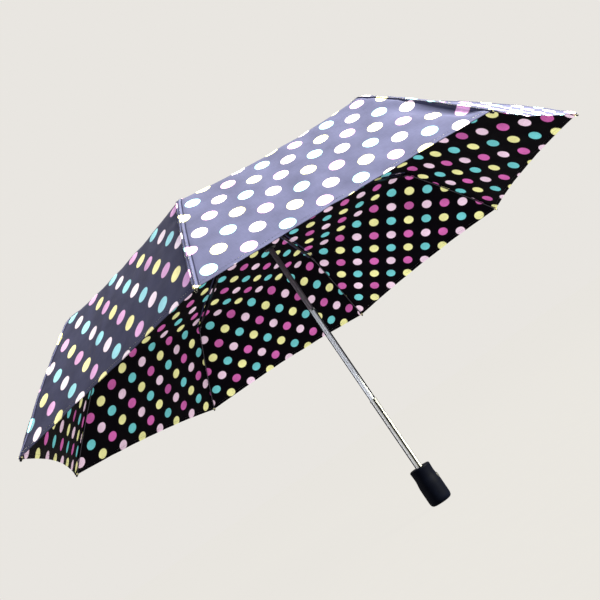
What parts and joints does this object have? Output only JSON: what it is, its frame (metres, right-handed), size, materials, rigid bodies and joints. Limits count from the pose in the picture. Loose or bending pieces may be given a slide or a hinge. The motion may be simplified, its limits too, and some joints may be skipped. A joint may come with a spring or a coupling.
{
  "type": "folding umbrella",
  "caption": "Children's telescopic folding umbrella, open: dotted canopy on jointed ribs, runner with stretchers, sliding tubes and a short push-button handle.",
  "frame": {"origin": "centre of the flat face under the handle", "axes": "+Z along the shaft towards the canopy, +X towards the push button and the first rib"},
  "size_m": [0.9304, 0.9304, 0.5406],
  "materials": {
    "rubber_black": "soft matt rubber coating",
    "black_plastic": "moulded, matt",
    "silver_button": "silver plastic",
    "spring_steel": "spring steel",
    "shaft_steel": "plated steel",
    "rib_steel": "plated steel",
    "wire_steel": "plated wire",
    "canopy_fabric": "coated woven polyester, printed dots"
  },
  "bodies": {
    "handle": {"handle_grip": "rubber_black", "handle_core": "black_plastic", "handle_end_cap": "black_plastic", "button_spring": "spring_steel", "lower_tube": "shaft_steel", "lower_tube_collar": "shaft_steel"},
    "button": {"push_button": "silver_button"},
    "middle_section": {"middle_tube": "shaft_steel", "middle_tube_collar": "shaft_steel"},
    "top_section": {"top_tube": "shaft_steel", "top_notch": "black_plastic", "top_notch_ring": "wire_steel", "crown_washer": "black_plastic", "ferrule_cap": "black_plastic", "ferrule_stem": "black_plastic", "canopy_gore_1": "canopy_fabric", "canopy_gore_2": "canopy_fabric", "canopy_gore_3": "canopy_fabric", "canopy_gore_4": "canopy_fabric", "canopy_gore_5": "canopy_fabric", "canopy_gore_6": "canopy_fabric", "canopy_gore_7": "canopy_fabric", "canopy_gore_8": "canopy_fabric"},
    "runner": {"runner": "black_plastic", "runner_ring": "wire_steel"},
    "top_rib_1": {"top_rib_1": "rib_steel"},
    "mid_rib_1": {"mid_rib_1": "rib_steel"},
    "end_rib_1": {"end_rib_1": "wire_steel"},
    "stretcher_1": {"stretcher_1": "rib_steel"},
    "top_rib_2": {"top_rib_2": "rib_steel"},
    "mid_rib_2": {"mid_rib_2": "rib_steel"},
    "end_rib_2": {"end_rib_2": "wire_steel"},
    "stretcher_2": {"stretcher_2": "rib_steel"},
    "top_rib_3": {"top_rib_3": "rib_steel"},
    "mid_rib_3": {"mid_rib_3": "rib_steel"},
    "end_rib_3": {"end_rib_3": "wire_steel"},
    "stretcher_3": {"stretcher_3": "rib_steel"},
    "top_rib_4": {"top_rib_4": "rib_steel"},
    "mid_rib_4": {"mid_rib_4": "rib_steel"},
    "end_rib_4": {"end_rib_4": "wire_steel"},
    "stretcher_4": {"stretcher_4": "rib_steel"},
    "top_rib_5": {"top_rib_5": "rib_steel"},
    "mid_rib_5": {"mid_rib_5": "rib_steel"},
    "end_rib_5": {"end_rib_5": "wire_steel"},
    "stretcher_5": {"stretcher_5": "rib_steel"},
    "top_rib_6": {"top_rib_6": "rib_steel"},
    "mid_rib_6": {"mid_rib_6": "rib_steel"},
    "end_rib_6": {"end_rib_6": "wire_steel"},
    "stretcher_6": {"stretcher_6": "rib_steel"},
    "top_rib_7": {"top_rib_7": "rib_steel"},
    "mid_rib_7": {"mid_rib_7": "rib_steel"},
    "end_rib_7": {"end_rib_7": "wire_steel"},
    "stretcher_7": {"stretcher_7": "rib_steel"},
    "top_rib_8": {"top_rib_8": "rib_steel"},
    "mid_rib_8": {"mid_rib_8": "rib_steel"},
    "end_rib_8": {"end_rib_8": "wire_steel"},
    "stretcher_8": {"stretcher_8": "rib_steel"}
  },
  "joints": [
    {"name": "button_press", "type": "slide", "parent": "handle", "child": "button", "axis": [-1, 0, 0], "range_m": [0, 0.0025], "stiffness_N_per_m": 400, "springref_m": -0.002, "deforming": ["button_spring"]},
    {"name": "shaft_lower", "type": "slide", "parent": "handle", "child": "middle_section", "axis": [0, 0, 1], "range_m": [-0.125, 0]},
    {"name": "shaft_upper", "type": "slide", "parent": "middle_section", "child": "top_section", "axis": [0, 0, 1], "range_m": [-0.13, 0]},
    {"name": "canopy_fold", "type": "slide", "parent": "top_section", "child": "runner", "axis": [0, 0, 1], "range_m": [-0.12322, 0], "deforming": ["canopy_gore_1", "canopy_gore_2", "canopy_gore_3", "canopy_gore_4", "canopy_gore_5", "canopy_gore_6", "canopy_gore_7", "canopy_gore_8"]},
    {"name": "crown_hinge_1", "type": "hinge", "parent": "top_section", "child": "top_rib_1", "pos_m": [0.0088, 0, 0.5184], "axis": [0, -1, 0], "range_deg": [-80.45, 0]},
    {"name": "inner_knee_1", "type": "hinge", "parent": "top_rib_1", "child": "mid_rib_1", "pos_m": [0.17906, 0, 0.49366], "axis": [0, -1, 0], "range_deg": [0, 180.05]},
    {"name": "outer_knee_1", "type": "hinge", "parent": "mid_rib_1", "child": "end_rib_1", "pos_m": [0.32619, 0, 0.46411], "axis": [0, -1, 0], "range_deg": [-144.44, 0]},
    {"name": "runner_hinge_1", "type": "hinge", "parent": "runner", "child": "stretcher_1", "pos_m": [0.0088, 0, 0.4634], "axis": [0, -1, 0], "range_deg": [0, 64.08]},
    {"name": "crown_hinge_2", "type": "hinge", "parent": "top_section", "child": "top_rib_2", "pos_m": [0.00622, 0.00622, 0.5184], "axis": [0.7071, -0.7071, 0], "range_deg": [-80.45, 0]},
    {"name": "inner_knee_2", "type": "hinge", "parent": "top_rib_2", "child": "mid_rib_2", "pos_m": [0.12661, 0.12661, 0.49366], "axis": [0.7071, -0.7071, 0], "range_deg": [0, 180.05]},
    {"name": "outer_knee_2", "type": "hinge", "parent": "mid_rib_2", "child": "end_rib_2", "pos_m": [0.23065, 0.23065, 0.46411], "axis": [0.7071, -0.7071, 0], "range_deg": [-144.44, 0]},
    {"name": "runner_hinge_2", "type": "hinge", "parent": "runner", "child": "stretcher_2", "pos_m": [0.00622, 0.00622, 0.4634], "axis": [0.7071, -0.7071, 0], "range_deg": [0, 64.08]},
    {"name": "crown_hinge_3", "type": "hinge", "parent": "top_section", "child": "top_rib_3", "pos_m": [0, 0.0088, 0.5184], "axis": [1, 0, 0], "range_deg": [-80.45, 0]},
    {"name": "inner_knee_3", "type": "hinge", "parent": "top_rib_3", "child": "mid_rib_3", "pos_m": [0, 0.17906, 0.49366], "axis": [1, 0, 0], "range_deg": [0, 180.05]},
    {"name": "outer_knee_3", "type": "hinge", "parent": "mid_rib_3", "child": "end_rib_3", "pos_m": [0, 0.32619, 0.46411], "axis": [1, 0, 0], "range_deg": [-144.44, 0]},
    {"name": "runner_hinge_3", "type": "hinge", "parent": "runner", "child": "stretcher_3", "pos_m": [0, 0.0088, 0.4634], "axis": [1, 0, 0], "range_deg": [0, 64.08]},
    {"name": "crown_hinge_4", "type": "hinge", "parent": "top_section", "child": "top_rib_4", "pos_m": [-0.00622, 0.00622, 0.5184], "axis": [0.7071, 0.7071, 0], "range_deg": [-80.45, 0]},
    {"name": "inner_knee_4", "type": "hinge", "parent": "top_rib_4", "child": "mid_rib_4", "pos_m": [-0.12661, 0.12661, 0.49366], "axis": [0.7071, 0.7071, 0], "range_deg": [0, 180.05]},
    {"name": "outer_knee_4", "type": "hinge", "parent": "mid_rib_4", "child": "end_rib_4", "pos_m": [-0.23065, 0.23065, 0.46411], "axis": [0.7071, 0.7071, 0], "range_deg": [-144.44, 0]},
    {"name": "runner_hinge_4", "type": "hinge", "parent": "runner", "child": "stretcher_4", "pos_m": [-0.00622, 0.00622, 0.4634], "axis": [0.7071, 0.7071, 0], "range_deg": [0, 64.08]},
    {"name": "crown_hinge_5", "type": "hinge", "parent": "top_section", "child": "top_rib_5", "pos_m": [-0.0088, 0, 0.5184], "axis": [0, 1, 0], "range_deg": [-80.45, 0]},
    {"name": "inner_knee_5", "type": "hinge", "parent": "top_rib_5", "child": "mid_rib_5", "pos_m": [-0.17906, 0, 0.49366], "axis": [0, 1, 0], "range_deg": [0, 180.05]},
    {"name": "outer_knee_5", "type": "hinge", "parent": "mid_rib_5", "child": "end_rib_5", "pos_m": [-0.32619, 0, 0.46411], "axis": [0, 1, 0], "range_deg": [-144.44, 0]},
    {"name": "runner_hinge_5", "type": "hinge", "parent": "runner", "child": "stretcher_5", "pos_m": [-0.0088, 0, 0.4634], "axis": [0, 1, 0], "range_deg": [0, 64.08]},
    {"name": "crown_hinge_6", "type": "hinge", "parent": "top_section", "child": "top_rib_6", "pos_m": [-0.00622, -0.00622, 0.5184], "axis": [-0.7071, 0.7071, 0], "range_deg": [-80.45, 0]},
    {"name": "inner_knee_6", "type": "hinge", "parent": "top_rib_6", "child": "mid_rib_6", "pos_m": [-0.12661, -0.12661, 0.49366], "axis": [-0.7071, 0.7071, 0], "range_deg": [0, 180.05]},
    {"name": "outer_knee_6", "type": "hinge", "parent": "mid_rib_6", "child": "end_rib_6", "pos_m": [-0.23065, -0.23065, 0.46411], "axis": [-0.7071, 0.7071, 0], "range_deg": [-144.44, 0]},
    {"name": "runner_hinge_6", "type": "hinge", "parent": "runner", "child": "stretcher_6", "pos_m": [-0.00622, -0.00622, 0.4634], "axis": [-0.7071, 0.7071, 0], "range_deg": [0, 64.08]},
    {"name": "crown_hinge_7", "type": "hinge", "parent": "top_section", "child": "top_rib_7", "pos_m": [0, -0.0088, 0.5184], "axis": [-1, 0, 0], "range_deg": [-80.45, 0]},
    {"name": "inner_knee_7", "type": "hinge", "parent": "top_rib_7", "child": "mid_rib_7", "pos_m": [0, -0.17906, 0.49366], "axis": [-1, 0, 0], "range_deg": [0, 180.05]},
    {"name": "outer_knee_7", "type": "hinge", "parent": "mid_rib_7", "child": "end_rib_7", "pos_m": [0, -0.32619, 0.46411], "axis": [-1, 0, 0], "range_deg": [-144.44, 0]},
    {"name": "runner_hinge_7", "type": "hinge", "parent": "runner", "child": "stretcher_7", "pos_m": [0, -0.0088, 0.4634], "axis": [-1, 0, 0], "range_deg": [0, 64.08]},
    {"name": "crown_hinge_8", "type": "hinge", "parent": "top_section", "child": "top_rib_8", "pos_m": [0.00622, -0.00622, 0.5184], "axis": [-0.7071, -0.7071, 0], "range_deg": [-80.45, 0]},
    {"name": "inner_knee_8", "type": "hinge", "parent": "top_rib_8", "child": "mid_rib_8", "pos_m": [0.12661, -0.12661, 0.49366], "axis": [-0.7071, -0.7071, 0], "range_deg": [0, 180.05]},
    {"name": "outer_knee_8", "type": "hinge", "parent": "mid_rib_8", "child": "end_rib_8", "pos_m": [0.23065, -0.23065, 0.46411], "axis": [-0.7071, -0.7071, 0], "range_deg": [-144.44, 0]},
    {"name": "runner_hinge_8", "type": "hinge", "parent": "runner", "child": "stretcher_8", "pos_m": [0.00622, -0.00622, 0.4634], "axis": [-0.7071, -0.7071, 0], "range_deg": [0, 64.08]}
  ],
  "couplings": [
    {"joint": "crown_hinge_1", "follows": "canopy_fold", "rad_per_m": 11.388},
    {"joint": "inner_knee_1", "follows": "canopy_fold", "rad_per_m": -25.495},
    {"joint": "outer_knee_1", "follows": "canopy_fold", "rad_per_m": 20.451},
    {"joint": "runner_hinge_1", "follows": "canopy_fold", "rad_per_m": -9.069},
    {"joint": "crown_hinge_2", "follows": "canopy_fold", "rad_per_m": 11.388},
    {"joint": "inner_knee_2", "follows": "canopy_fold", "rad_per_m": -25.495},
    {"joint": "outer_knee_2", "follows": "canopy_fold", "rad_per_m": 20.451},
    {"joint": "runner_hinge_2", "follows": "canopy_fold", "rad_per_m": -9.069},
    {"joint": "crown_hinge_3", "follows": "canopy_fold", "rad_per_m": 11.388},
    {"joint": "inner_knee_3", "follows": "canopy_fold", "rad_per_m": -25.495},
    {"joint": "outer_knee_3", "follows": "canopy_fold", "rad_per_m": 20.451},
    {"joint": "runner_hinge_3", "follows": "canopy_fold", "rad_per_m": -9.069},
    {"joint": "crown_hinge_4", "follows": "canopy_fold", "rad_per_m": 11.388},
    {"joint": "inner_knee_4", "follows": "canopy_fold", "rad_per_m": -25.495},
    {"joint": "outer_knee_4", "follows": "canopy_fold", "rad_per_m": 20.451},
    {"joint": "runner_hinge_4", "follows": "canopy_fold", "rad_per_m": -9.069},
    {"joint": "crown_hinge_5", "follows": "canopy_fold", "rad_per_m": 11.388},
    {"joint": "inner_knee_5", "follows": "canopy_fold", "rad_per_m": -25.495},
    {"joint": "outer_knee_5", "follows": "canopy_fold", "rad_per_m": 20.451},
    {"joint": "runner_hinge_5", "follows": "canopy_fold", "rad_per_m": -9.069},
    {"joint": "crown_hinge_6", "follows": "canopy_fold", "rad_per_m": 11.388},
    {"joint": "inner_knee_6", "follows": "canopy_fold", "rad_per_m": -25.495},
    {"joint": "outer_knee_6", "follows": "canopy_fold", "rad_per_m": 20.451},
    {"joint": "runner_hinge_6", "follows": "canopy_fold", "rad_per_m": -9.069},
    {"joint": "crown_hinge_7", "follows": "canopy_fold", "rad_per_m": 11.388},
    {"joint": "inner_knee_7", "follows": "canopy_fold", "rad_per_m": -25.495},
    {"joint": "outer_knee_7", "follows": "canopy_fold", "rad_per_m": 20.451},
    {"joint": "runner_hinge_7", "follows": "canopy_fold", "rad_per_m": -9.069},
    {"joint": "crown_hinge_8", "follows": "canopy_fold", "rad_per_m": 11.388},
    {"joint": "inner_knee_8", "follows": "canopy_fold", "rad_per_m": -25.495},
    {"joint": "outer_knee_8", "follows": "canopy_fold", "rad_per_m": 20.451},
    {"joint": "runner_hinge_8", "follows": "canopy_fold", "rad_per_m": -9.069}
  ]
}
